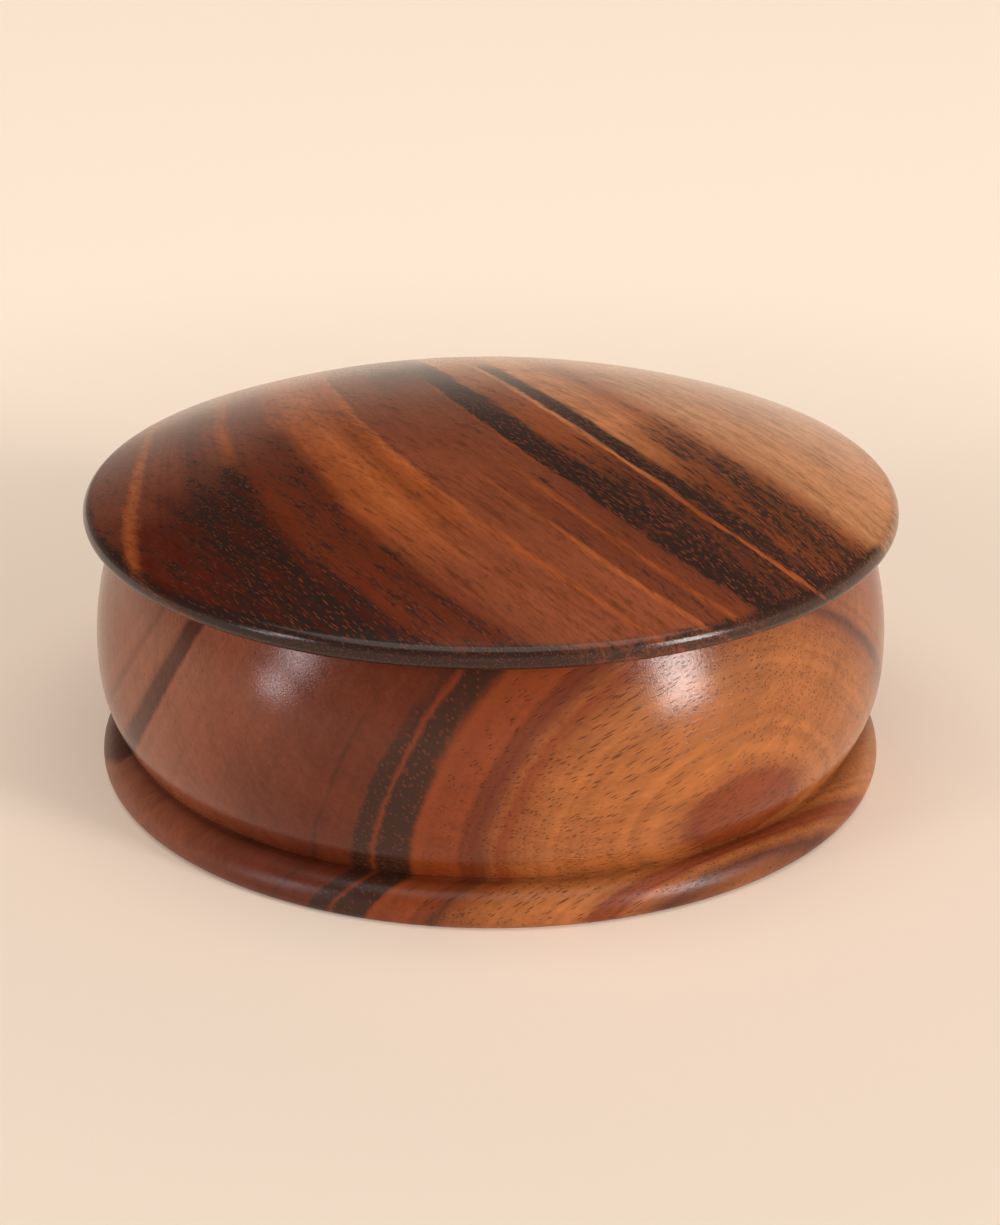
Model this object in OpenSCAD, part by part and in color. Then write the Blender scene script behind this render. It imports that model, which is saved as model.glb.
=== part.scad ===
// Shaving bowl: a turned hardwood bowl with a flanged foot, a domed lift-off
// lid, and a cake of shaving soap on its floor. Millimetres, +Z up. Every
// piece is turned about the Z axis, and the foot stands on z = 0.

/* [Bowl] */
// Radius of the belly, the widest part of the bowl
belly_r = 64; // [62:0.5:66]
// Height of the belly's widest ring above the table
belly_z = 21; // [19:0.5:23]
// Height of the bowl's top face, where the lid seats
bowl_h = 41.7; // [38:0.1:44]
// Outer radius of the bowl at its top face
mouth_r = 59.8; // [59:0.1:61]
// Rounding of the mouth's outer edge
mouth_round = 1; // [0.5:0.1:1.5]
// Radius of the straight bore inside the mouth
bore_r = 52.5; // [50:0.5:54]
// Height of the bowl's inner floor
floor_z = 8.5; // [7:0.5:10]
// Radius of the cove between the floor and the bore
cove_r = 10.5; // [9.5:0.5:10.5]

/* [Foot] */
// Outer radius of the foot's flange
foot_r = 64; // [63:0.1:66]
// Height of the flange's widest ring above the table
foot_edge_z = 1.8; // [1.2:0.1:2.4]
// How far the flange tucks in from its widest ring down to the table
foot_tuck = 1.4; // [0.8:0.1:2]
// Radius of the waist where the foot meets the belly
waist_r = 59.8; // [59:0.1:60.5]
// Height of the waist above the table
waist_z = 6; // [5:0.1:6.5]
// Width of the fine groove cut around the waist
groove_w = 0.5; // [0.4:0.1:0.8]
// Depth of the fine groove
groove_d = 0.5; // [0.3:0.1:0.8]
// Radius of the shallow recess under the foot
recess_r = 50; // [40:1:54]
// Depth of the shallow recess under the foot
recess_d = 1.5; // [1:0.1:2.5]

/* [Lid] */
// Radius of the lid at its rim
lid_r = 65; // [64.5:0.1:68]
// Radius of the rim's rounded edge, half the rim's thickness
rim_round = 1.9; // [1.4:0.1:2.2]
// Height of the dome's crown above the lid's seat
crown_h = 16.4; // [14:0.1:20]
// Thickness of the wood at the crown
crown_t = 6.5; // [5:0.5:7]
// Depth of the spigot that locates the lid in the mouth
spigot_h = 5; // [4:0.5:7]
// Thickness of the spigot's wall
spigot_t = 5.7; // [4:0.1:7]
// Clearance all round between the spigot and the bore
spigot_gap = 0.3; // [0.2:0.05:0.6]

/* [Soap] */
// Radius of the soap cake
soap_r = 41; // [38:0.5:41]
// Thickness of the soap cake
soap_h = 17; // [10:1:20]
// Rounding of the cake's upper edge
soap_round = 3; // [1:0.5:4]
// Rounding of the cake's lower edge
soap_foot_round = 1; // [0.5:0.5:2]

/* [Hidden] */
$fn = 96;

// Steps in each profile curve
curve_steps = 14;
small_arc_steps = 6;
// Fullness of the belly: how flat it stays before it turns in to the waist
belly_fullness = 2.5;
// Small bevel on the mouth's and the spigot's leading edges
lead_in = 0.6;
// The corner between the bore and the floor
cove_z = floor_z + cove_r;
floor_r = bore_r - cove_r;
// Where the belly starts above the groove
belly_foot_z = waist_z + groove_w;
// Spigot radii and its lower face
spigot_r = bore_r - spigot_gap;
hollow_r = spigot_r - spigot_t;
spigot_z = bowl_h - spigot_h;
// The dome is part of a sphere that runs tangent into the rim's round edge
rim_r = lid_r - rim_round;
rim_z = bowl_h + rim_round;
crown_z = bowl_h + crown_h;
dome_rise = crown_z - rim_z;
dome_r = (rim_r ^ 2 + dome_rise ^ 2 - rim_round ^ 2) / (2 * (dome_rise - rim_round));
dome_end = asin(rim_r / (dome_r - rim_round));
// The hollow under the dome is a shallower cap
hollow_rise = crown_h - crown_t;
hollow_cap_r = (hollow_r ^ 2 + hollow_rise ^ 2) / (2 * hollow_rise);
hollow_end = asin(hollow_r / hollow_cap_r);

// Points of an ellipse's arc in the profile plane, from one angle to another
function arc(centre, size, from, to, steps) = [
    for (i = [0 : steps])
        let (a = from + (to - from) * i / steps)
        centre + [size[0] * cos(a), size[1] * sin(a)]
];

// The belly's profile below its widest ring, from the groove up
function belly_low() = [
    for (i = [0 : curve_steps - 1])
        let (t = 1 - i / curve_steps)
        [belly_r - (belly_r - waist_r) * t ^ belly_fullness, belly_z - (belly_z - belly_foot_z) * t]
];

// The belly's profile from its widest ring up to the mouth's rounded edge
function belly_high() = [
    for (i = [0 : curve_steps])
        let (t = i / curve_steps)
        [belly_r - (belly_r - mouth_r) * t ^ 2, belly_z + (bowl_h - mouth_round - belly_z) * t]
];

// The bowl: belly, waist groove and flanged foot turned from one block
module bowl() {
    color("saddlebrown")
        rotate_extrude()
            polygon(concat(
                [[0, recess_d], [recess_r, recess_d], [recess_r + recess_d, 0]],
                arc([foot_r - foot_tuck, foot_edge_z], [foot_tuck, foot_edge_z], -90, 0, small_arc_steps),
                arc([waist_r, foot_edge_z], [foot_r - waist_r, waist_z - foot_edge_z], 90 / small_arc_steps,
                    90, small_arc_steps),
                [[waist_r - groove_d, waist_z + groove_w / 2]],
                belly_low(),
                belly_high(),
                arc([mouth_r - mouth_round, bowl_h - mouth_round], [mouth_round, mouth_round],
                    90 / small_arc_steps, 90, small_arc_steps),
                [[bore_r + lead_in, bowl_h], [bore_r, bowl_h - lead_in]],
                arc([floor_r, cove_z], [cove_r, cove_r], 0, -90, curve_steps),
                [[0, floor_z]]
            ));
}

// The lid: a dome with a round rim, a locating spigot and a hollow underside
module lid() {
    color("sienna")
        rotate_extrude()
            polygon(concat(
                arc([rim_r, rim_z], [rim_round, rim_round], -90, 0, small_arc_steps),
                arc([rim_r, rim_z], [rim_round, rim_round], 90 / small_arc_steps, 90 - dome_end, small_arc_steps),
                arc([0, crown_z - dome_r], [dome_r, dome_r], 90 - dome_end * (1 - 1 / curve_steps), 90,
                    curve_steps - 1),
                arc([0, bowl_h + hollow_rise - hollow_cap_r], [hollow_cap_r, hollow_cap_r], 90,
                    90 - hollow_end, curve_steps),
                [
                    [hollow_r, spigot_z],
                    [spigot_r - lead_in, spigot_z],
                    [spigot_r, spigot_z + lead_in],
                    [spigot_r, bowl_h]
                ]
            ));
}

// The soap: a round cake that lies on the bowl's floor, inside the cove
module soap_puck() {
    color("ivory")
        rotate_extrude()
            polygon(concat(
                [[0, floor_z]],
                arc([soap_r - soap_foot_round, floor_z + soap_foot_round], [soap_foot_round, soap_foot_round],
                    -90, 0, small_arc_steps),
                arc([soap_r - soap_round, floor_z + soap_h - soap_round], [soap_round, soap_round],
                    0, 90, small_arc_steps),
                [[0, floor_z + soap_h]]
            ));
}

bowl();
lid();
soap_puck();
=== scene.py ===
# %% [markdown]
# # A turned shaving bowl with its lid and soap
#
# The real object is three loose pieces: a bowl turned from one block of figured
# hardwood, a domed lid turned from another, and a cake of shaving soap inside.
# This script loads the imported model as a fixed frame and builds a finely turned
# version of each piece where the frame says it is, then gives it its finish.

import math

import bmesh
import bpy
from mathutils import Matrix, Vector


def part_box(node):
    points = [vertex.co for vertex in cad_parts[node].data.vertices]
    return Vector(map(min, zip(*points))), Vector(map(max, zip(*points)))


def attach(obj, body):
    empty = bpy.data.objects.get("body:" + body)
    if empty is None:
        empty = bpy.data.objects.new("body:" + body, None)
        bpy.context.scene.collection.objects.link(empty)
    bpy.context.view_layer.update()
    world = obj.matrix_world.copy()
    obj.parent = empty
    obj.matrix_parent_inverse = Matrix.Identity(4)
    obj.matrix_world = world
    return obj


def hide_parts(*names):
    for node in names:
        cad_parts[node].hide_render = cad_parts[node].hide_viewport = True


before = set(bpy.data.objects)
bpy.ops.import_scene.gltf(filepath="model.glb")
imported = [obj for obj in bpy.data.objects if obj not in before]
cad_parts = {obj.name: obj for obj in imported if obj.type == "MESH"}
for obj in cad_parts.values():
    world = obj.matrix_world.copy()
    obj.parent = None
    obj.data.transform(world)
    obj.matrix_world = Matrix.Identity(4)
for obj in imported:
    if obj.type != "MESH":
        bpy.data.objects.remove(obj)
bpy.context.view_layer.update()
MM = 0.001
bowl_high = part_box("bowl")[1]
lid_low, lid_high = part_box("lid")
soap_low, soap_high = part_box("soap_puck")

# %% [markdown]
# ## The camera
#
# A product shot from a little above: the camera looks along +Y and down by about
# 24 degrees with a lens long enough to keep the round rim from bulging. The angle
# and the distance are the two numbers that place it, so it is set from those. It
# could be aimed with a Track To constraint, but a plain rotation is easier to read.

# %% Camera
CAMERA_HEIGHT_ANGLE = math.radians(23.3)
CAMERA_TILT = math.radians(23.58)
CAMERA_ROLL = math.radians(0.25)
CAMERA_DISTANCE = 0.430
CAMERA_SIDE = 0.0015
LOOK_AT_HEIGHT = 0.025
LENS_MM = 77.2

camera_data = bpy.data.cameras.new("studio_camera")
camera_data.lens = LENS_MM
camera_data.sensor_width = 36.0
camera_data.clip_start = 0.01
camera = bpy.data.objects.new("studio_camera", camera_data)
camera.location = (
    CAMERA_SIDE,
    -CAMERA_DISTANCE * math.cos(CAMERA_HEIGHT_ANGLE),
    LOOK_AT_HEIGHT + CAMERA_DISTANCE * math.sin(CAMERA_HEIGHT_ANGLE),
)
camera_turn = Matrix.Rotation(math.pi / 2 - CAMERA_TILT, 3, "X") @ Matrix.Rotation(CAMERA_ROLL, 3, "Z")
camera.rotation_euler = camera_turn.to_euler()
bpy.context.collection.objects.link(camera)
bpy.context.scene.camera = camera
bpy.context.scene.view_settings.view_transform = "Standard"
print("camera at", [round(value, 3) for value in camera.location])

# %% [markdown]
# ## Turning a piece
#
# A lathe makes every piece here, so the mesh is made the way a lathe makes the
# wood: one half outline, spun round the Z axis. Round stretches of an outline are
# arcs, given by their centre, their two half-sizes and two angles. The spin closes
# on itself, and the doubled points at its seam and on the axis are merged before
# the faces are pointed outwards. Edges that stay crisp on the real piece are marked
# sharp by their angle, so the rest can be shaded smooth.

# %% Lathe helpers
TURN_STEPS = 240
WELD = 0.002 * MM
SHARP_ANGLE = math.radians(32)


def arc(centre, size, start, end, steps):
    """Points of an ellipse's arc in the outline's plane; angles in degrees."""
    points = []
    for step in range(steps + 1):
        angle = math.radians(start + (end - start) * step / steps)
        points.append((centre[0] + size[0] * math.cos(angle), centre[1] + size[1] * math.sin(angle)))
    return points


def turned(name, outline):
    """A closed piece made by spinning an outline of (radius, height) points round the Z axis."""
    shape = bmesh.new()
    corners = [shape.verts.new((radius, 0.0, height)) for radius, height in outline]
    sides = [shape.edges.new(pair) for pair in zip(corners, corners[1:])]
    bmesh.ops.spin(
        shape,
        geom=corners + sides,
        cent=(0.0, 0.0, 0.0),
        axis=(0.0, 0.0, 1.0),
        angle=2 * math.pi,
        steps=TURN_STEPS,
        use_merge=True,
    )
    bmesh.ops.remove_doubles(shape, verts=shape.verts, dist=WELD)
    bmesh.ops.recalc_face_normals(shape, faces=shape.faces)
    for face in shape.faces:
        face.smooth = True
    for edge in shape.edges:
        edge.smooth = edge.calc_face_angle(0.0) < SHARP_ANGLE
    mesh = bpy.data.meshes.new(name)
    shape.to_mesh(mesh)
    shape.free()
    piece = bpy.data.objects.new(name, mesh)
    bpy.context.collection.objects.link(piece)
    print(name, "faces:", len(mesh.polygons), "outline points:", len(outline))
    return piece


# %% [markdown]
# ## The bowl
#
# The bowl is one block: a full belly that turns in to a waist, a fine groove cut
# round the waist, and a flange below it that the bowl stands on. Inside are a
# straight bore that takes the lid's spigot, a cove, and a flat floor for the soap.
# The belly stays almost upright over most of its height and then turns in quickly,
# so its lower half is a power curve and its upper half a parabola.

# %% Bowl sizes
BELLY_R = 64.0 * MM
BELLY_Z = 21.0 * MM
BELLY_FULLNESS = 2.5
BOWL_H = bowl_high[2]
MOUTH_R = 59.8 * MM
MOUTH_ROUND = 1.0 * MM
BORE_R = 52.5 * MM
FLOOR_Z = soap_low[2]
COVE_R = 10.5 * MM
FOOT_R = bowl_high[0]
FOOT_EDGE_Z = 1.8 * MM
FOOT_TUCK = 1.4 * MM
WAIST_R = 59.8 * MM
WAIST_Z = 6.0 * MM
GROOVE_W = 0.5 * MM
GROOVE_D = 0.5 * MM
RECESS_R = 50.0 * MM
RECESS_D = 1.5 * MM
LEAD_IN = 0.6 * MM
BELLY_STEPS = 30
EDGE_STEPS = 9
COVE_STEPS = 18
print("bowl height", round(BOWL_H, 4), "foot radius", round(FOOT_R, 4))


# %% Bowl outline and bowl
def belly_low():
    """The belly from the groove up to just below its widest ring."""
    points = []
    start = WAIST_Z + GROOVE_W
    for step in range(BELLY_STEPS):
        fall = 1 - step / BELLY_STEPS
        radius = BELLY_R - (BELLY_R - WAIST_R) * fall**BELLY_FULLNESS
        points.append((radius, BELLY_Z - (BELLY_Z - start) * fall))
    return points


def belly_high():
    """The belly from its widest ring up to the mouth's rounded edge."""
    points = []
    end = BOWL_H - MOUTH_ROUND
    for step in range(BELLY_STEPS + 1):
        rise = step / BELLY_STEPS
        points.append((BELLY_R - (BELLY_R - MOUTH_R) * rise**2, BELLY_Z + (end - BELLY_Z) * rise))
    return points


foot_shoulder = (FOOT_R - WAIST_R, WAIST_Z - FOOT_EDGE_Z)
bowl_outline = [(0.0, RECESS_D), (RECESS_R, RECESS_D), (RECESS_R + RECESS_D, 0.0)]
bowl_outline += arc((FOOT_R - FOOT_TUCK, FOOT_EDGE_Z), (FOOT_TUCK, FOOT_EDGE_Z), -90, 0, EDGE_STEPS)
bowl_outline += arc((WAIST_R, FOOT_EDGE_Z), foot_shoulder, 90 / COVE_STEPS, 90, COVE_STEPS - 1)
bowl_outline += [(WAIST_R - GROOVE_D, WAIST_Z + GROOVE_W / 2)]
bowl_outline += belly_low() + belly_high()
mouth_centre = (MOUTH_R - MOUTH_ROUND, BOWL_H - MOUTH_ROUND)
bowl_outline += arc(mouth_centre, (MOUTH_ROUND, MOUTH_ROUND), 90 / EDGE_STEPS, 90, EDGE_STEPS - 1)
bowl_outline += [(BORE_R + LEAD_IN, BOWL_H), (BORE_R, BOWL_H - LEAD_IN)]
bowl_outline += arc((BORE_R - COVE_R, FLOOR_Z + COVE_R), (COVE_R, COVE_R), 0, -90, COVE_STEPS)
bowl_outline += [(0.0, FLOOR_Z)]
bowl = turned("turned_bowl", bowl_outline)
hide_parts("bowl")
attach(bowl, "bowl_body")

# %% [markdown]
# ## The lid
#
# The lid is a shallow dome that rolls over into a round rim. The dome is part of a
# large sphere, and the sphere's radius follows from where it has to run tangent
# into the rim's small circle, so there is no crease between them. Below the rim a
# spigot locates the lid in the bore, and the underside is dished to save weight.

# %% Lid sizes
LID_R = 65.0 * MM
RIM_ROUND = 1.9 * MM
SEAT_Z = BOWL_H
CROWN_Z = lid_high[2]
CROWN_T = 6.5 * MM
SPIGOT_Z = lid_low[2]
SPIGOT_GAP = 0.3 * MM
SPIGOT_T = 5.7 * MM
SPIGOT_R = BORE_R - SPIGOT_GAP
HOLLOW_R = SPIGOT_R - SPIGOT_T
DOME_STEPS = 40
RIM_STEPS = 12

rim_r = LID_R - RIM_ROUND
rim_z = SEAT_Z + RIM_ROUND
dome_rise = CROWN_Z - rim_z
dome_r = (rim_r**2 + dome_rise**2 - RIM_ROUND**2) / (2 * (dome_rise - RIM_ROUND))
dome_end = math.degrees(math.asin(rim_r / (dome_r - RIM_ROUND)))
hollow_rise = CROWN_Z - CROWN_T - SEAT_Z
hollow_cap_r = (HOLLOW_R**2 + hollow_rise**2) / (2 * hollow_rise)
hollow_end = math.degrees(math.asin(HOLLOW_R / hollow_cap_r))
print("dome radius", round(dome_r, 4), "hollow radius", round(hollow_cap_r, 4))

# %% Lid outline and lid
lid_outline = arc((rim_r, rim_z), (RIM_ROUND, RIM_ROUND), -90, 90 - dome_end, RIM_STEPS * 2)
dome_start = 90 - dome_end * (1 - 1 / DOME_STEPS)
lid_outline += arc((0.0, CROWN_Z - dome_r), (dome_r, dome_r), dome_start, 90, DOME_STEPS - 1)
hollow_centre = (0.0, SEAT_Z + hollow_rise - hollow_cap_r)
lid_outline += arc(hollow_centre, (hollow_cap_r, hollow_cap_r), 90, 90 - hollow_end, DOME_STEPS)
lid_outline += [
    (HOLLOW_R, SPIGOT_Z),
    (SPIGOT_R - LEAD_IN, SPIGOT_Z),
    (SPIGOT_R, SPIGOT_Z + LEAD_IN),
    (SPIGOT_R, SEAT_Z),
    (rim_r, SEAT_Z),
]
lid = turned("turned_lid", lid_outline)
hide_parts("lid")
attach(lid, "lid_body")

# %% [markdown]
# ## The soap
#
# A hard cake of shaving soap is pressed in a round mould, so it has a flat foot, a
# soft upper edge and a faintly dished top that the brush has begun to wear.

# %% Soap
SOAP_R = soap_high[0]
SOAP_ROUND = 3.0 * MM
SOAP_FOOT_ROUND = 1.0 * MM
SOAP_DISH = 0.8 * MM
SOAP_DISH_R = 30.0 * MM
SOAP_STEPS = 14

foot_centre = (SOAP_R - SOAP_FOOT_ROUND, FLOOR_Z + SOAP_FOOT_ROUND)
edge_centre = (SOAP_R - SOAP_ROUND, soap_high[2] - SOAP_ROUND)
soap_outline = [(0.0, FLOOR_Z)]
soap_outline += arc(foot_centre, (SOAP_FOOT_ROUND, SOAP_FOOT_ROUND), -90, 0, EDGE_STEPS)
soap_outline += arc(edge_centre, (SOAP_ROUND, SOAP_ROUND), 0, 90, EDGE_STEPS)
for step in range(SOAP_STEPS + 1):
    across = 1 - step / SOAP_STEPS
    depth = SOAP_DISH * (0.5 + 0.5 * math.cos(math.pi * across))
    soap_outline.append((SOAP_DISH_R * across, soap_high[2] - depth))
soap = turned("soap_cake", soap_outline)
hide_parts("soap_puck")
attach(soap, "bowl_body")

# %% [markdown]
# ## Small helpers for shader nodes
#
# The wood is worked out in the solid, so its figure runs over the rim and into the
# bore the way it does in a real block. These helpers only save typing: each adds one
# kind of node and joins its sockets, and two of them make a group and place it.

# %% Shader helpers
def add_node(tree, kind, **values):
    """Adds a node and sets its properties."""
    node = tree.nodes.new(kind)
    for key, value in values.items():
        setattr(node, key, value)
    return node


def feed(tree, target, source):
    """Sets a socket from another socket, or from a plain value."""
    if isinstance(source, bpy.types.NodeSocket):
        tree.links.new(source, target)
    else:
        target.default_value = source


def math_node(tree, operation, *sources, clamp=False):
    """One Math node; returns its output."""
    node = add_node(tree, "ShaderNodeMath", operation=operation, use_clamp=clamp)
    for socket, source in zip(node.inputs, sources):
        feed(tree, socket, source)
    return node.outputs[0]


def vector_node(tree, operation, *sources):
    """One Vector Math node; returns its vector output."""
    node = add_node(tree, "ShaderNodeVectorMath", operation=operation)
    for socket, source in zip(node.inputs, sources):
        feed(tree, socket, source)
    return node.outputs["Vector"]


# %% Noise and colour helpers
def noise(tree, vector, scale, detail=2.0, roughness=0.5):
    """A noise texture; returns its Fac output."""
    node = add_node(tree, "ShaderNodeTexNoise")
    feed(tree, node.inputs["Vector"], vector)
    feed(tree, node.inputs["Scale"], scale)
    node.inputs["Detail"].default_value = detail
    node.inputs["Roughness"].default_value = roughness
    return node.outputs["Fac"]


def line_noise(tree, along, scale, detail=2.0):
    """Noise along one number, such as the distance from the heart of the tree."""
    node = add_node(tree, "ShaderNodeTexNoise", noise_dimensions="1D")
    feed(tree, node.inputs["W"], along)
    feed(tree, node.inputs["Scale"], scale)
    node.inputs["Detail"].default_value = detail
    return node.outputs["Fac"]


def ranged(tree, value, low, high, to_low=0.0, to_high=1.0, smooth=False):
    """A Map Range node; returns its result."""
    node = add_node(tree, "ShaderNodeMapRange")
    node.interpolation_type = "SMOOTHSTEP" if smooth else "LINEAR"
    for key, source in (
        ("Value", value), ("From Min", low), ("From Max", high), ("To Min", to_low), ("To Max", to_high)
    ):
        feed(tree, node.inputs[key], source)
    return node.outputs["Result"]


def mixed(tree, amount, first, second):
    """Mixes two colours; returns the result."""
    node = add_node(tree, "ShaderNodeMix", data_type="RGBA")
    feed(tree, node.inputs["Factor"], amount)
    feed(tree, node.inputs["A"], first)
    feed(tree, node.inputs["B"], second)
    return node.outputs["Result"]


# %% Group helpers
def new_group(name, inputs, outputs):
    """An empty node group with named sockets; returns the group, its input node and its output node."""
    group = bpy.data.node_groups.new(name, "ShaderNodeTree")
    for label, kind, value in inputs:
        socket = group.interface.new_socket(name=label, in_out="INPUT", socket_type=kind)
        if value is not None:
            socket.default_value = value
    for label, kind in outputs:
        group.interface.new_socket(name=label, in_out="OUTPUT", socket_type=kind)
    return group, group.nodes.new("NodeGroupInput"), group.nodes.new("NodeGroupOutput")


def use_group(tree, group, **values):
    """Places a group in a material and sets its sockets by name; returns the node."""
    node = add_node(tree, "ShaderNodeGroup")
    node.node_tree = group
    for label, source in values.items():
        feed(tree, node.inputs[label.replace("_", " ")], source)
    return node


FLOAT = "NodeSocketFloat"
VECTOR = "NodeSocketVector"

# %% [markdown]
# ## Growth rings
#
# A tree lays down wood in rings round its heart, so the figure of a turned piece is
# set by one number: the distance from the heart line. The group takes a position
# already turned so that X runs along the grain, in millimetres, and gives that
# distance, swayed a little by noise, because no tree grows as a true cylinder. The
# noise is stretched along the grain: bands wander slowly along their length, and
# their edges are torn into short slivers, not cut clean.

# %% Ring group
SWAY_CELLS = (0.04, 0.06, 0.06)
SLIVER_CELLS = (0.13, 0.9, 0.9)


def noise_sway(tree, tone, amount):
    """Noise taken around 0 instead of 0.5 and multiplied by an amount."""
    return math_node(tree, "MULTIPLY", math_node(tree, "SUBTRACT", tone, 0.5), amount)


rings, inside, out = new_group(
    "Growth rings",
    [("Vector", VECTOR, None), ("Sway", FLOAT, 0.8), ("Tear", FLOAT, 0.4)],
    [("Distance", FLOAT), ("Along", FLOAT)],
)
parts = add_node(rings, "ShaderNodeSeparateXYZ")
feed(rings, parts.inputs[0], inside.outputs["Vector"])
flat = add_node(rings, "ShaderNodeCombineXYZ")
feed(rings, flat.inputs["Y"], parts.outputs["Y"])
feed(rings, flat.inputs["Z"], parts.outputs["Z"])
radius = add_node(rings, "ShaderNodeVectorMath", operation="LENGTH")
feed(rings, radius.inputs[0], flat.outputs[0])
slow = vector_node(rings, "MULTIPLY", inside.outputs["Vector"], SWAY_CELLS)
broad = noise(rings, slow, 1.0, detail=2.0)
slivers = vector_node(rings, "MULTIPLY", inside.outputs["Vector"], SLIVER_CELLS)
torn = noise(rings, slivers, 1.0, detail=4.0, roughness=0.6)
swayed = math_node(rings, "ADD", radius.outputs["Value"], noise_sway(rings, broad, inside.outputs["Sway"]))
torn_sway = noise_sway(rings, torn, inside.outputs["Tear"])
feed(rings, out.inputs["Distance"], math_node(rings, "ADD", swayed, torn_sway))
feed(rings, out.inputs["Along"], parts.outputs["X"])
print("group:", rings.name)

# %% [markdown]
# ## Fibres, streaks and lines
#
# Between the broad bands the wood is never plain. Fine growth lines follow the
# rings, fibres a few tenths of a millimetre wide run along the grain, streaks a
# millimetre or so wide carry the dark colour, and slow clouds change the tone over
# the whole piece. Bands is made as Lines is, but far broader. Each output is a tone
# around 0.5 that a material uses as it needs.

# %% Fibre group
BANDS_PER_MM = 0.12
LINES_PER_MM = 1.9
FIBRES_PER_MM = 2.6
STREAKS_PER_MM = 0.7
CLOUD_CELLS = (0.04, 0.12, 0.12)
fibres, inside, out = new_group(
    "Fibres and streaks",
    [("Vector", VECTOR, None), ("Distance", FLOAT, 0.0), ("Stretch", FLOAT, 0.1)],
    [("Lines", FLOAT), ("Bands", FLOAT), ("Fibre", FLOAT), ("Streak", FLOAT), ("Cloud", FLOAT)],
)
depth_in_tree = inside.outputs["Distance"]
feed(fibres, out.inputs["Bands"], line_noise(fibres, depth_in_tree, BANDS_PER_MM, detail=3.0))
feed(fibres, out.inputs["Lines"], line_noise(fibres, depth_in_tree, LINES_PER_MM, detail=5.0))
squeeze = add_node(fibres, "ShaderNodeCombineXYZ")
feed(fibres, squeeze.inputs["X"], inside.outputs["Stretch"])
squeeze.inputs["Y"].default_value = 1.0
squeeze.inputs["Z"].default_value = 1.0
drawn_out = vector_node(fibres, "MULTIPLY", inside.outputs["Vector"], squeeze.outputs[0])
feed(fibres, out.inputs["Fibre"], noise(fibres, drawn_out, FIBRES_PER_MM, detail=3.0, roughness=0.65))
feed(fibres, out.inputs["Streak"], noise(fibres, drawn_out, STREAKS_PER_MM, detail=5.0, roughness=0.62))
clouded = vector_node(fibres, "MULTIPLY", inside.outputs["Vector"], CLOUD_CELLS)
feed(fibres, out.inputs["Cloud"], noise(fibres, clouded, 1.0, detail=3.0, roughness=0.55))
print("group:", fibres.name)

# %% [markdown]
# ## Pores
#
# This is an open-pored wood: its vessels show as short dashes where the surface
# lies along the grain, and as dots where it cuts across. Cells of a Voronoi
# texture, stretched along the grain, hold one pore each. A random number for each
# cell decides whether it has one, and Amount says how many do. The same group also
# makes the light flecks in the dark wood, with its own cell size.

# %% Pore group
SMALLEST_PORE = 0.55
PORE_CORE = 0.55
pores, inside, out = new_group(
    "Pores",
    [
        ("Vector", VECTOR, None),
        ("Amount", FLOAT, 0.5),
        ("Cell Length", FLOAT, 5.0),
        ("Cell Width", FLOAT, 0.55),
        ("Fill", FLOAT, 0.38),
    ],
    [("Mask", FLOAT)],
)
cell = add_node(pores, "ShaderNodeCombineXYZ")
feed(pores, cell.inputs["X"], inside.outputs["Cell Length"])
feed(pores, cell.inputs["Y"], inside.outputs["Cell Width"])
feed(pores, cell.inputs["Z"], inside.outputs["Cell Width"])
squeezed = vector_node(pores, "DIVIDE", inside.outputs["Vector"], cell.outputs[0])
cells = add_node(pores, "ShaderNodeTexVoronoi", feature="F1")
feed(pores, cells.inputs["Vector"], squeezed)
cells.inputs["Scale"].default_value = 1.0
chance = add_node(pores, "ShaderNodeSeparateColor")
feed(pores, chance.inputs[0], cells.outputs["Color"])
kept = math_node(pores, "LESS_THAN", chance.outputs["Red"], inside.outputs["Amount"])
share = ranged(pores, chance.outputs["Green"], 0.0, 1.0, SMALLEST_PORE, 1.0)
size = math_node(pores, "MULTIPLY", inside.outputs["Fill"], share)
inner = math_node(pores, "MULTIPLY", size, PORE_CORE)
dash = ranged(pores, cells.outputs["Distance"], inner, size, 1.0, 0.0, smooth=True)
feed(pores, out.inputs["Mask"], math_node(pores, "MULTIPLY", dash, kept))
print("group:", pores.name)

# %% [markdown]
# ## Bands of colour
#
# A band of the wood is a distance from the heart in millimetres, a colour, and how
# much near-black pigment sits there: 0 is none and 1 is solid. A list of bands makes
# two colour ramps over the distance, one for the colours and one for the pigment. A
# ramp takes at most 32 stops. Each block has three lists, because real bands fade and
# darken along their length, and they are blended along the grain with a little
# wandering, so that the change doesn't fall on a straight line.

# %% Wood colours
EBONY = (0.022, 0.014, 0.011)
UMBER = (0.034, 0.015, 0.009)
OXBLOOD = (0.120, 0.016, 0.005)
MAHOGANY = (0.190, 0.034, 0.010)
CHESTNUT = (0.220, 0.052, 0.020)
RUSSET = (0.260, 0.066, 0.026)
COPPER = (0.370, 0.085, 0.020)
AMBER = (0.460, 0.120, 0.030)
HONEY = (0.560, 0.200, 0.070)
GOLD = (0.680, 0.285, 0.098)
SAND = (0.540, 0.225, 0.092)

# %% Band ramps
WANDER_MM = 40.0


def ramp_over(tree, place, stops):
    """One Color Ramp node over a 0 to 1 place; stops are (place, colour) pairs."""
    node = add_node(tree, "ShaderNodeValToRGB")
    feed(tree, node.inputs["Fac"], place)
    elements = node.color_ramp.elements
    elements[0].color = stops[0][1]
    elements[1].color = stops[-1][1]
    for position, colour in stops[1:-1]:
        elements.new(position).color = colour
    return node.outputs["Color"]


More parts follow.
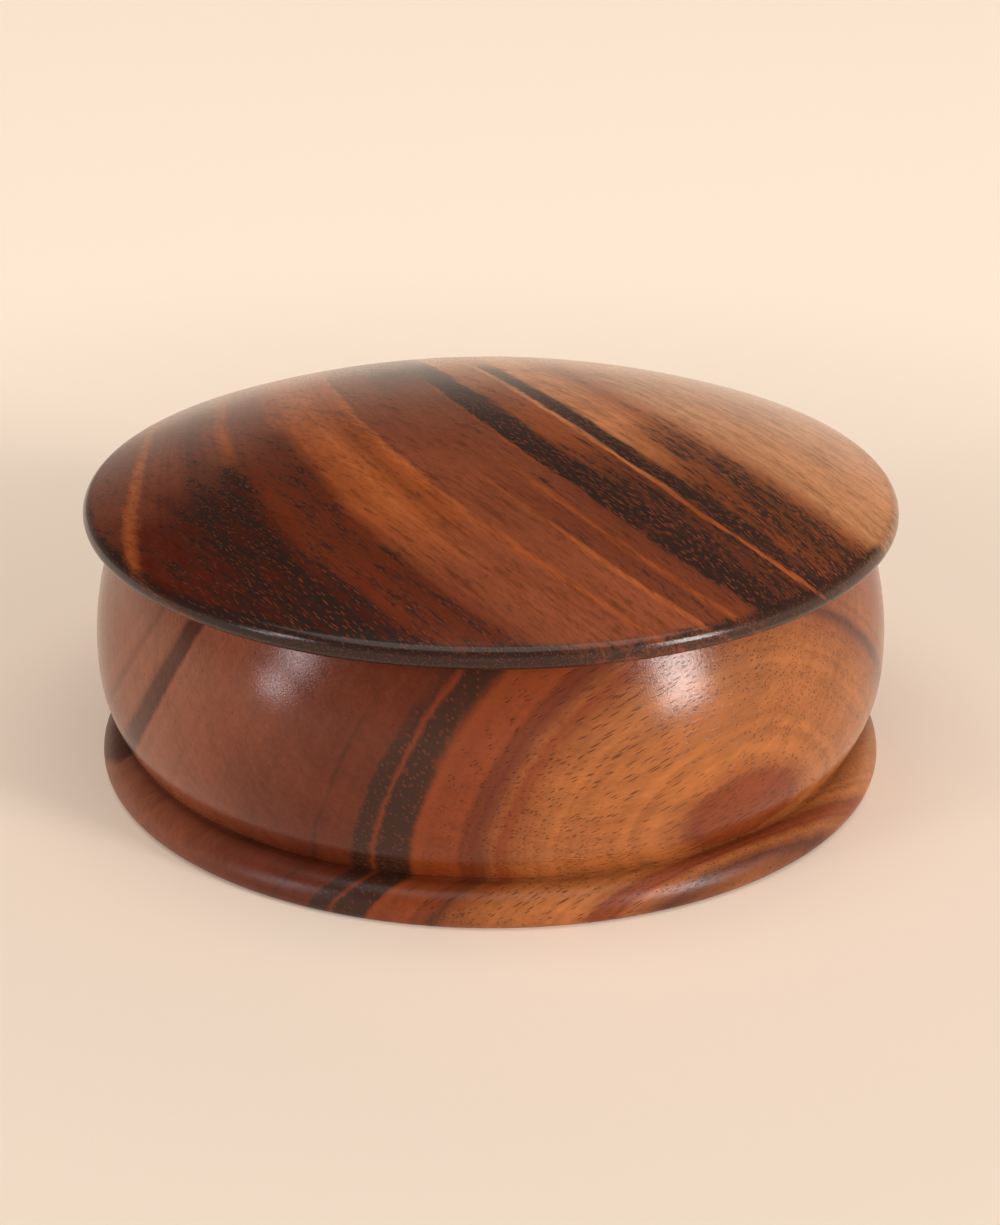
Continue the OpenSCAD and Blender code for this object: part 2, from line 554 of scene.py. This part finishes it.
def band_ramps(tree, distance, bands):
    """The bands' colours and their pigment, as two ramps over the heart distance."""
    low, high = bands[0][0], bands[-1][0]
    place = ranged(tree, distance, low, high)
    at = [(band[0] - low) / (high - low) for band in bands]
    colours = [(*band[1], 1.0) for band in bands]
    pigments = [(band[2], band[2], band[2], 1.0) for band in bands]
    return ramp_over(tree, place, list(zip(at, colours))), ramp_over(tree, place, list(zip(at, pigments)))


def blended_bands(tree, block, ring, cloud):
    """The colour and the pigment of a block, its three lists blended along the grain."""
    reach = math_node(tree, "ADD", ring.outputs["Along"], noise_sway(tree, cloud, WANDER_MM))
    first, middle, last = [band_ramps(tree, ring.outputs["Distance"], bands) for bands in block["bands"]]
    to_middle = ranged(tree, reach, *block["to_middle"], smooth=True)
    to_last = ranged(tree, reach, *block["to_last"], smooth=True)
    return [
        mixed(tree, to_last, mixed(tree, to_middle, start, centre), end)
        for start, centre, end in zip(first, middle, last)
    ]


# %% [markdown]
# ## Dark wood and tones
#
# The pigment follows the bands, but streaks and fibres decide where it takes, so the
# dark wood breaks up into a mottle. On the far side of a block, where no band is
# listed, broad noise bands stand in for them. The rim of a piece is end grain that
# drinks more oil and it also sits in shade, so it can be darkened by its distance from
# the turning axis: partly the end grain's own colour, partly painted shade. The rest
# of the wood gets lighter and darker with the growth lines, fibres and clouds.

# %% Dark wood and tones
FAR_BAND_EDGE = (0.56, 0.63)
FAR_BAND_PIGMENT = 0.9
FAR_LINE_DEPTH = 0.7
NOISE_SPREAD = (0.3, 0.7)


def rim_oil_and_shade(tree, block, place_parts):
    """How much darker the wood is towards the rim: partly oil-darkened end grain, partly painted shade."""
    level = add_node(tree, "ShaderNodeCombineXYZ")
    feed(tree, level.inputs["X"], place_parts.outputs["X"])
    feed(tree, level.inputs["Y"], place_parts.outputs["Y"])
    axis_distance = add_node(tree, "ShaderNodeVectorMath", operation="LENGTH")
    feed(tree, axis_distance.inputs[0], level.outputs[0])
    return ranged(tree, axis_distance.outputs["Value"], *block["edge"], 0.0, block["edge_dark"], smooth=True)


def darkness(tree, block, pigment, edge, far_side, tone):
    """The share of near-black in the wood, from 0 to the block's depth."""
    far_bands = ranged(tree, tone.outputs["Bands"], *FAR_BAND_EDGE, 0.0, FAR_BAND_PIGMENT)
    pigment = math_node(tree, "ADD", pigment, math_node(tree, "MULTIPLY", far_side, far_bands))
    uneven = noise_sway(tree, tone.outputs["Streak"], block["uneven"])
    fuzz = noise_sway(tree, tone.outputs["Fibre"], block["fuzz"])
    # The rim's darkening is added to the pigment here: partly end grain, partly painted shade.
    pigment_and_dark_rim = math_node(tree, "ADD", pigment, edge)
    total = math_node(tree, "ADD", pigment_and_dark_rim, math_node(tree, "ADD", uneven, fuzz))
    return ranged(tree, total, *block["dark_range"], 0.0, block["depth"], smooth=True)


def toned(tree, block, ground, distance, far_side, tone):
    """The bands' colour made lighter and darker by the lines, fibres, streaks and clouds."""
    line_depth = ranged(tree, distance, *block["pore_zone"], *block["line_depths"], smooth=True)
    line_depth = math_node(tree, "ADD", line_depth, math_node(tree, "MULTIPLY", far_side, FAR_LINE_DEPTH))
    all_tone = math_node(tree, "ADD", noise_sway(tree, tone.outputs["Lines"], line_depth), 1.0)
    for label, depth in zip(("Fibre", "Streak", "Cloud"), block["tones"]):
        one_tone = ranged(tree, tone.outputs[label], *NOISE_SPREAD, 1.0 - depth, 1.0 + depth)
        all_tone = math_node(tree, "MULTIPLY", all_tone, one_tone)
    result = vector_node(tree, "SCALE", ground)
    feed(tree, result.node.inputs["Scale"], all_tone)
    return result


# %% [markdown]
# ## Flecks, vessels and lacquer
#
# Short flecks of plain wood show through the dark wood. The vessels are drawn as
# pores in their own direction, because they lean a little from the heart line; most
# of them lie in rows along the growth lines and crowd into the open-pored zone. The
# lacquer over it all is a gloss with a fine unevenness in roughness and height, so a
# highlight breaks up into grains, and each pore leaves a small dent in it.

# %% Flecks, vessels and lacquer
FLECK_AMOUNT = 0.85
FLECK_FILL = 0.48
FLECK_COPPER = 0.4
PORE_CELL = (3.6, 0.29)
PORE_FILL = 0.44
PORE_ROWS = (0.60, 0.36, 0.30, 1.5)
STRAY_PORES = 0.06
PORE_COLOUR = (0.060, 0.014, 0.006, 1.0)
SPECKLE_PER_M = 3400.0
SATIN_ROUGHNESS = 0.34
GLOSS_ROUGHNESS = 0.17
SPECKLE_SPREAD = (0.35, 0.65)
ROUGHNESS_SPREAD = (-0.05, 0.07)
LACQUER_IOR = 1.36
LACQUER_RELIEF = 0.03 * MM


def in_wood(tree, place, heart, turn, flatness):
    """A place moved and turned into the wood's own frame, in millimetres with the grain along X."""
    node = add_node(tree, "ShaderNodeMapping", vector_type="TEXTURE")
    feed(tree, node.inputs["Vector"], place)
    node.inputs["Location"].default_value = [value * MM for value in heart]
    node.inputs["Rotation"].default_value = [math.radians(angle) for angle in turn]
    node.inputs["Scale"].default_value = (MM, MM, MM / flatness)
    return node.outputs["Vector"]


def flecked(tree, block, stained, plain, dark, edge, grain):
    """The stained wood with flecks of plain wood in its dark parts."""
    length, width, strength = block["flecks"]
    cells = use_group(
        tree, pores, Vector=grain, Amount=FLECK_AMOUNT, Cell_Length=length, Cell_Width=width, Fill=FLECK_FILL
    )
    mask = math_node(tree, "MULTIPLY", math_node(tree, "MULTIPLY", cells.outputs["Mask"], dark), strength)
    mask = math_node(tree, "MULTIPLY", mask, math_node(tree, "SUBTRACT", 1.0, edge, clamp=True))
    return mixed(tree, mask, stained, mixed(tree, FLECK_COPPER, plain, (*COPPER, 1.0)))


def vessels(tree, block, place, distance, lines):
    """The mask of the open pores."""
    crowd = ranged(tree, distance, *block["pore_zone"], STRAY_PORES, block["pore_amount"], smooth=True)
    amount = math_node(tree, "MULTIPLY", crowd, ranged(tree, lines, *PORE_ROWS))
    leaning = in_wood(tree, place, (0, 0, 0), block["vessel_turn"], 1.0)
    length, width = PORE_CELL
    cells = use_group(
        tree, pores, Vector=leaning, Amount=amount, Cell_Length=length, Cell_Width=width, Fill=PORE_FILL
    )
    return cells.outputs["Mask"]


def lacquered(tree, block, surface, place, height, pore):
    """Sets the gloss of the lacquer and its fine relief."""
    speckle = noise(tree, place, SPECKLE_PER_M, detail=2.0)
    polish = ranged(tree, height, *block["polish_height"], SATIN_ROUGHNESS, GLOSS_ROUGHNESS, smooth=True)
    uneven = ranged(tree, speckle, *SPECKLE_SPREAD, *ROUGHNESS_SPREAD)
    feed(tree, surface.inputs["Roughness"], math_node(tree, "ADD", polish, uneven))
    surface.inputs["IOR"].default_value = LACQUER_IOR
    relief = add_node(tree, "ShaderNodeBump")
    relief.inputs["Strength"].default_value = 0.5
    relief.inputs["Distance"].default_value = LACQUER_RELIEF
    feed(tree, relief.inputs["Height"], math_node(tree, "SUBTRACT", speckle, pore))
    feed(tree, surface.inputs["Normal"], relief.outputs["Normal"])


# %% [markdown]
# ## Putting a block of wood together
#
# Both blocks come from the same kind of tree, so one function builds the material
# and each block brings its own heart line, its bands and how strong each effect is.
# The Mapping node for the heart line is of the Texture type: it moves the heart line
# to the origin, turns the grain to X and divides by the scale, one millimetre here.
# A flatness below 1 squashes the rings to ovals, since few trees grow truly round.

# %% Wood material
def figured_wood(name, block):
    """A lacquered hardwood material with its figure worked out in the solid."""
    material = bpy.data.materials.new(name)
    material.use_nodes = True
    tree = material.node_tree
    surface = tree.nodes["Principled BSDF"]
    place = add_node(tree, "ShaderNodeTexCoord").outputs["Object"]
    place_parts = add_node(tree, "ShaderNodeSeparateXYZ")
    feed(tree, place_parts.inputs[0], place)

    grain = in_wood(tree, place, block["heart"], block["turn"], block["flatness"])
    ring = use_group(tree, rings, Vector=grain, Sway=block["sway"], Tear=block["tear"])
    distance = ring.outputs["Distance"]
    tone = use_group(tree, fibres, Vector=grain, Distance=distance, Stretch=block["stretch"])
    far_side = ranged(tree, distance, *block["far_side"], smooth=True)

    ground, pigment = blended_bands(tree, block, ring, tone.outputs["Cloud"])
    # The rim is made darker: partly oil-darkened end grain, partly painted shade.
    edge = rim_oil_and_shade(tree, block, place_parts)
    dark = darkness(tree, block, pigment, edge, far_side, tone)
    plain = toned(tree, block, ground, distance, far_side, tone)
    stained = mixed(tree, dark, plain, (*block["pigment"], 1.0))
    colour = flecked(tree, block, stained, plain, dark, edge, grain)

    pore = vessels(tree, block, place, distance, tone.outputs["Lines"])
    pore_stain = math_node(tree, "MULTIPLY", pore, block["pore_depth"])
    feed(tree, surface.inputs["Base Color"], mixed(tree, pore_stain, colour, PORE_COLOUR))
    lacquered(tree, block, surface, place, place_parts.outputs["Z"], pore)
    print(name, "nodes:", len(tree.nodes))
    return material


# %% [markdown]
# ## The bowl's block
#
# The bowl's heart line passes far above it, behind and to the left, so its growth
# layers cross the belly as nearly flat sheets and only close into ovals at the front
# right, where the belly runs along the grain. A pair of near-black streaks with a thin bright line between
# them crosses the front, with red-brown wood on their left and golden, open-pored
# wood on the right. On its far side the bands come from the broad noise instead. The
# foot is left duller than the belly, so polish starts just above it.

# %% Bowl wood
ROSY = (0.300, 0.100, 0.050)
BRICK = (0.245, 0.070, 0.032)
WINE = (0.165, 0.040, 0.018)
BLOOD = (0.130, 0.026, 0.010)
EMBER = (0.210, 0.042, 0.010)
TOFFEE = (0.270, 0.078, 0.020)
OCHRE = (0.335, 0.108, 0.028)
BOWL_BACK = [(20, BRICK, 0.0), (50, OCHRE, 0.0), (80, BRICK, 0.0), (104, TOFFEE, 0.0), (118, ROSY, 0.0)]
BOWL_CORE = [
    (161.6, OCHRE, 0.0), (161.8, EMBER, 0.15), (162.7, EMBER, 0.2), (163.0, OCHRE, 0.0),
    (163.7, BLOOD, 0.55), (165.0, OCHRE, 0.0), (166.0, OCHRE, 0.0),
]
BOWL_LEFT = BOWL_BACK[2:] + [
    (130.0, ROSY, 0.1), (130.2, WINE, 0.6), (130.5, ROSY, 0.0), (132.6, ROSY, 0.1), (133.0, WINE, 0.5),
    (134.1, WINE, 0.55), (134.4, ROSY, 0.0), (135.4, ROSY, 0.0), (140, BRICK, 0.0), (144, WINE, 0.0),
    (147.7, BLOOD, 0.1), (147.8, BLOOD, 0.75), (148.0, BLOOD, 0.1), (149.9, BLOOD, 0.1),
    (150.2, BLOOD, 1.0), (151.05, BLOOD, 1.0), (151.2, MAHOGANY, 0.25), (151.3, MAHOGANY, 0.25),
    (151.45, BLOOD, 1.1), (152.9, BLOOD, 1.1), (153.1, EMBER, 0.05), (155.8, EMBER, 0.1),
    (156.2, BLOOD, 0.6), (157.0, TOFFEE, 0.1), (166.0, OCHRE, 0.0),
]
BOWL_MIDDLE = BOWL_BACK[2:] + [
    (130, ROSY, 0.1), (133.0, WINE, 0.7), (134.1, WINE, 0.7), (134.5, ROSY, 0.0), (140, BRICK, 0.0),
    (146, WINE, 0.0), (149.8, BLOOD, 0.1), (150.3, BLOOD, 0.45), (150.95, BLOOD, 0.6),
    (151.15, MAHOGANY, 0.15), (151.3, MAHOGANY, 0.15), (151.5, BLOOD, 0.8), (152.7, BLOOD, 0.8),
    (153.1, EMBER, 0.25), (155.0, EMBER, 0.12), (156.1, BLOOD, 0.35), (156.5, TOFFEE, 0.0),
    (156.9, EMBER, 0.25), (157.5, TOFFEE, 0.0), (158.4, OCHRE, 0.0),
] + BOWL_CORE
BOWL_RIGHT = BOWL_BACK + [
    (140, BRICK, 0.0), (153, EMBER, 0.0), (155.9, TOFFEE, 0.0), (156.2, WINE, 0.6), (156.6, WINE, 0.6),
    (157.0, TOFFEE, 0.0), (158.5, OCHRE, 0.0),
] + BOWL_CORE
BOWL_BLOCK = {
    "heart": (-176, 125, 291),
    "turn": (-35, -18, 31),
    "flatness": 0.4,
    "sway": 0.6,
    "tear": 0.5,
    "stretch": 0.12,
    "bands": (BOWL_LEFT, BOWL_MIDDLE, BOWL_RIGHT),
    "to_middle": (-52, -32),
    "to_last": (0, 22),
    "far_side": (126.0, 116.0),
    "pigment": UMBER,
    "dark_range": (0.15, 0.90),
    "depth": 0.90,
    "uneven": 0.6,
    "fuzz": 0.9,
    "edge": (0.080, 0.090),
    "edge_dark": 0.0,
    "line_depths": (0.25, 0.9),
    "tones": (0.14, 0.12, 0.12),
    "flecks": (0.8, 0.40, 0.40),
    "vessel_turn": (0, -22, 22),
    "pore_zone": (152.8, 157.0),
    "pore_amount": 1.0,
    "pore_depth": 0.80,
    "polish_height": (0.0066, 0.0074),
}
bowl_material = figured_wood("bowl_wood", BOWL_BLOCK)
bowl.data.materials.append(bowl_material)

# %% [markdown]
# ## The lid's block
#
# The lid's heart line passes below it on the left, so its bands sweep across the dome
# in long curves from the back left to the front right. It is the more figured of the
# two: dark mottled wood at the front left and front right, two black bands through
# the middle with bright lines beside them, and golden wood at the back right. The
# rim drinks more oil than the dome and sits in shade under its roll, so it is darker
# all the way round: partly the end grain's own colour, partly painted shade.

# %% Lid wood
LID_BACK = [
    (76, MAHOGANY, 0.35), (82.3, CHESTNUT, 0.25), (82.7, COPPER, 0.0), (83.1, AMBER, 0.0),
    (83.4, CHESTNUT, 0.1), (86.3, CHESTNUT, 0.15), (87.2, CHESTNUT, 0.45), (89.3, RUSSET, 0.2),
    (89.8, COPPER, 0.0), (90.4, COPPER, 0.0), (90.9, RUSSET, 0.25), (93.5, RUSSET, 0.25),
    (95.0, COPPER, 0.05), (97.0, AMBER, 0.0), (100.8, COPPER, 0.05), (101.2, AMBER, 0.0),
    (101.4, AMBER, 0.0), (101.7, RUSSET, 0.1), (105.0, RUSSET, 0.15), (106.0, CHESTNUT, 0.5),
    (109.8, CHESTNUT, 0.6), (110.3, CHESTNUT, 1.0), (112.4, CHESTNUT, 1.0), (113.0, HONEY, 0.1),
    (117.0, HONEY, 0.3), (118.6, HONEY, 0.2), (119.2, GOLD, 0.0), (122.0, GOLD, 0.0),
    (123.5, HONEY, 0.25), (126.0, HONEY, 0.25), (127.5, SAND, 0.0), (150, SAND, 0.0),
]
LID_MIDDLE = [
    (76, OXBLOOD, 0.6), (82.4, OXBLOOD, 0.5), (82.8, COPPER, 0.1), (83.1, COPPER, 0.1),
    (83.4, OXBLOOD, 0.25), (87.6, OXBLOOD, 0.65), (90.0, OXBLOOD, 0.7), (91.2, MAHOGANY, 0.35),
    (93.8, MAHOGANY, 0.45), (94.7, MAHOGANY, 0.5), (95.8, COPPER, 0.2), (98.2, AMBER, 0.1),
    (99.8, COPPER, 0.35), (100.8, COPPER, 0.1), (101.2, AMBER, 0.0), (101.4, AMBER, 0.0),
    (101.6, RUSSET, 0.15), (109.8, RUSSET, 0.25), (110.0, COPPER, 0.0), (110.4, CHESTNUT, 0.85),
    (112.6, CHESTNUT, 0.8), (113.6, COPPER, 0.35), (116.2, COPPER, 0.25), (116.5, HONEY, 0.0),
    (116.8, HONEY, 0.1), (117.1, CHESTNUT, 0.85), (118.4, CHESTNUT, 0.8), (119.0, HONEY, 0.0),
    (122.0, HONEY, 0.05), (124.5, AMBER, 0.35), (128.0, SAND, 0.05), (150, SAND, 0.0),
]
LID_FRONT = [
    (76, OXBLOOD, 0.8), (90.5, OXBLOOD, 0.75), (92.0, MAHOGANY, 0.4), (94.6, MAHOGANY, 0.55),
    (95.3, CHESTNUT, 0.25), (97.5, RUSSET, 0.15), (101.0, RUSSET, 0.15), (101.3, COPPER, 0.0),
    (101.8, RUSSET, 0.15), (104.8, RUSSET, 0.2), (105.1, AMBER, 0.0), (105.4, CHESTNUT, 0.35),
    (107.4, CHESTNUT, 0.35), (107.7, COPPER, 0.05), (108.1, CHESTNUT, 0.3), (109.9, CHESTNUT, 0.35),
    (110.4, CHESTNUT, 0.9), (112.6, CHESTNUT, 0.85), (113.5, CHESTNUT, 0.65), (116.2, CHESTNUT, 0.65),
    (116.45, COPPER, 0.1), (116.7, COPPER, 0.1), (117.0, RUSSET, 0.8), (118.6, RUSSET, 0.8),
    (119.5, COPPER, 0.6), (122.0, COPPER, 0.7), (124.0, COPPER, 0.75), (126.0, AMBER, 0.65),
    (129.0, SAND, 0.1), (150, SAND, 0.0),
]
LID_BLOCK = {
    "heart": (-48, -14, -60),
    "turn": (21, 10, -51),
    "flatness": 0.76,
    "sway": 1.0,
    "tear": 1.0,
    "stretch": 0.14,
    "bands": (LID_BACK, LID_MIDDLE, LID_FRONT),
    "to_middle": (-30, -8),
    "to_last": (10, 38),
    "far_side": (72.0, 62.0),
    "pigment": EBONY,
    "dark_range": (0.15, 0.85),
    "depth": 0.94,
    "uneven": 1.7,
    "fuzz": 1.3,
    # The rim's darkening: partly oil-darkened end grain, partly painted shade.
    "edge": (0.0630, 0.0648),
    "edge_dark": 0.5,
    "line_depths": (0.45, 0.3),
    "tones": (0.32, 0.36, 0.12),
    "flecks": (2.0, 0.26, 0.80),
    "vessel_turn": (0, -10, -51),
    "pore_zone": (126.0, 128.0),
    "pore_amount": 0.25,
    "pore_depth": 0.5,
    "polish_height": (-0.02, -0.01),
}
lid_material = figured_wood("lid_wood", LID_BLOCK)
lid.data.materials.append(lid_material)

# %% [markdown]
# ## Soap finish
#
# Hard soap lets a little light in, so its edges glow, and its surface is smooth but
# not glossy. A subsurface weight gives the glow. The brush goes round and round on it
# and leaves faint rings, which a Wave texture gives to a Bump node.

# %% Soap material
SOAP_SHADE = (0.90, 0.80, 0.60, 1.0)
SOAP_CREAM = (0.96, 0.90, 0.74, 1.0)
MARBLE_PER_M = 60.0
MARBLE_SPREAD = (0.35, 0.65)
SOAP_ROUGHNESS = (0.42, 0.52)
SWIRLS_PER_M = 45.0
SWIRL_RELIEF = 0.15 * MM
soap_material = bpy.data.materials.new("soap")
soap_material.use_nodes = True
tree = soap_material.node_tree
surface = tree.nodes["Principled BSDF"]
place = add_node(tree, "ShaderNodeTexCoord").outputs["Object"]
marble = noise(tree, place, MARBLE_PER_M, detail=4.0)
creamy = mixed(tree, ranged(tree, marble, *MARBLE_SPREAD), SOAP_SHADE, SOAP_CREAM)
feed(tree, surface.inputs["Base Color"], creamy)
feed(tree, surface.inputs["Roughness"], ranged(tree, marble, *MARBLE_SPREAD, *SOAP_ROUGHNESS))
surface.inputs["Subsurface Weight"].default_value = 0.25
surface.inputs["Subsurface Radius"].default_value = (0.004, 0.003, 0.002)
surface.inputs["Subsurface Scale"].default_value = 1.0
swirl = add_node(tree, "ShaderNodeTexWave", wave_type="RINGS", rings_direction="Z")
feed(tree, swirl.inputs["Vector"], place)
swirl.inputs["Scale"].default_value = SWIRLS_PER_M
swirl.inputs["Distortion"].default_value = 1.5
swirl.inputs["Detail"].default_value = 3.0
swirl_relief = add_node(tree, "ShaderNodeBump")
swirl_relief.inputs["Strength"].default_value = 0.5
swirl_relief.inputs["Distance"].default_value = SWIRL_RELIEF
feed(tree, swirl_relief.inputs["Height"], swirl.outputs["Fac"])
feed(tree, surface.inputs["Normal"], swirl_relief.outputs["Normal"])
soap.data.materials.append(soap_material)
print("soap nodes:", len(tree.nodes))

# %% [markdown]
# ## Floor
#
# The set is a pale cream sweep. Its floor is a large plane, so that it fills the
# view. Part of its light is its own, as on a lit table, which keeps shadows faint;
# close to the object there is less of it, so that the object sits in a soft shade.

# %% Floor
FLOOR_SIZE = 60.0
FLOOR_CREAM = (0.80, 0.66, 0.54, 1.0)
FLOOR_GLOW = (0.95, 0.79, 0.64)
FLOOR_GLOW_RANGE = (0.24, 0.44)
GLOW_DISTANCES = (0.08, 0.30)
floor_shape = bmesh.new()
bmesh.ops.create_grid(floor_shape, x_segments=1, y_segments=1, size=FLOOR_SIZE / 2)
floor_mesh = bpy.data.meshes.new("floor")
floor_shape.to_mesh(floor_mesh)
floor_shape.free()
floor = bpy.data.objects.new("floor", floor_mesh)
bpy.context.collection.objects.link(floor)
floor_material = bpy.data.materials.new("floor")
floor_material.use_nodes = True
floor_surface = floor_material.node_tree.nodes["Principled BSDF"]
floor_surface.inputs["Base Color"].default_value = FLOOR_CREAM
floor_surface.inputs["Roughness"].default_value = 1.0
floor_surface.inputs["Specular IOR Level"].default_value = 0.0
floor_tree = floor_material.node_tree
away = add_node(floor_tree, "ShaderNodeVectorMath", operation="LENGTH")
feed(floor_tree, away.inputs[0], add_node(floor_tree, "ShaderNodeTexCoord").outputs["Object"])
glow = ranged(floor_tree, away.outputs["Value"], *GLOW_DISTANCES, *FLOOR_GLOW_RANGE, smooth=True)
glow_colour = vector_node(floor_tree, "SCALE", FLOOR_GLOW)
feed(floor_tree, glow_colour.node.inputs["Scale"], glow)
feed(floor_tree, floor_surface.inputs["Emission Color"], glow_colour)
floor_surface.inputs["Emission Strength"].default_value = 1.0
floor.data.materials.append(floor_material)
print("floor width", FLOOR_SIZE, "own light", FLOOR_GLOW_RANGE)

# %% [markdown]
# ## Lights
#
# Soft boxes light the set: a tall bright one at the front right, a dimmer one at the
# front left with a small one under it, and a wide one overhead. Each is a rectangle
# of light that faces the object; it is placed by its bearing from the front, its
# height angle and its angular size, because those are what a polished surface shows.
# Power grows with area, so the brightness asked for is turned into watts from the
# size.

# %% Lights
LIGHT_DISTANCE = 4.0


def soft_box(name, bearing, height_angle, wide, tall, brightness, colour=(1.0, 1.0, 1.0)):
    """A rectangular light facing the object; angles in degrees, bearing from the front towards the right."""
    turn, rise = math.radians(bearing), math.radians(height_angle)
    level = LIGHT_DISTANCE * math.cos(rise)
    data = bpy.data.lights.new(name, "AREA")
    data.shape = "RECTANGLE"
    data.size = 2 * LIGHT_DISTANCE * math.tan(math.radians(wide) / 2)
    data.size_y = 2 * LIGHT_DISTANCE * math.tan(math.radians(tall) / 2)
    data.energy = brightness * math.pi * data.size * data.size_y
    data.color = colour
    light = bpy.data.objects.new(name, data)
    light.location = (level * math.sin(turn), -level * math.cos(turn), LIGHT_DISTANCE * math.sin(rise))
    aim = Vector((0.0, 0.0, LOOK_AT_HEIGHT)) - light.location
    light.rotation_euler = aim.to_track_quat("-Z", "Y").to_euler()
    bpy.context.collection.objects.link(light)
    print(name, "watts", round(data.energy, 1))
    return light


soft_box("right_soft_box", 54, 12, 12, 28, 24.0, (1.0, 0.97, 0.98))
soft_box("left_soft_box", -56, 17, 8, 16, 12.0, (1.0, 0.93, 1.0))
soft_box("low_left_soft_box", -61, 3, 7, 7, 14.0, (1.0, 0.93, 1.0))
soft_box("top_soft_box", 0, 82, 60, 46, 2.0, (1.0, 0.97, 0.92))

# %% [markdown]
# ## Surroundings
#
# Around the set the sweep rises cream behind the floor and fades into the dark of
# the room overhead, and it is several times brighter on the right than on the left.
# The lacquer mirrors it, so this is what gives the lid its pale haze at the back and
# keeps the front of it deep.

# %% Surroundings
SWEEP = [
    (0.0, (0.82, 0.67, 0.54, 1.0)),
    (0.10, (0.72, 0.59, 0.48, 1.0)),
    (0.20, (0.48, 0.39, 0.32, 1.0)),
    (0.33, (0.22, 0.18, 0.15, 1.0)),
    (0.50, (0.08, 0.07, 0.06, 1.0)),
    (1.0, (0.05, 0.05, 0.05, 1.0)),
]
LEFT_TO_RIGHT_STRENGTH = (0.35, 1.5)
world = bpy.data.worlds.new("studio")
world.use_nodes = True
sky = world.node_tree
direction = add_node(sky, "ShaderNodeSeparateXYZ")
feed(sky, direction.inputs[0], add_node(sky, "ShaderNodeTexCoord").outputs["Generated"])
background = sky.nodes["Background"]
feed(sky, background.inputs["Color"], ramp_over(sky, direction.outputs["Z"], SWEEP))
strength = ranged(sky, direction.outputs["X"], -1.0, 1.0, *LEFT_TO_RIGHT_STRENGTH)
feed(sky, background.inputs["Strength"], strength)
bpy.context.scene.world = world
print("sweep colours:", len(SWEEP))
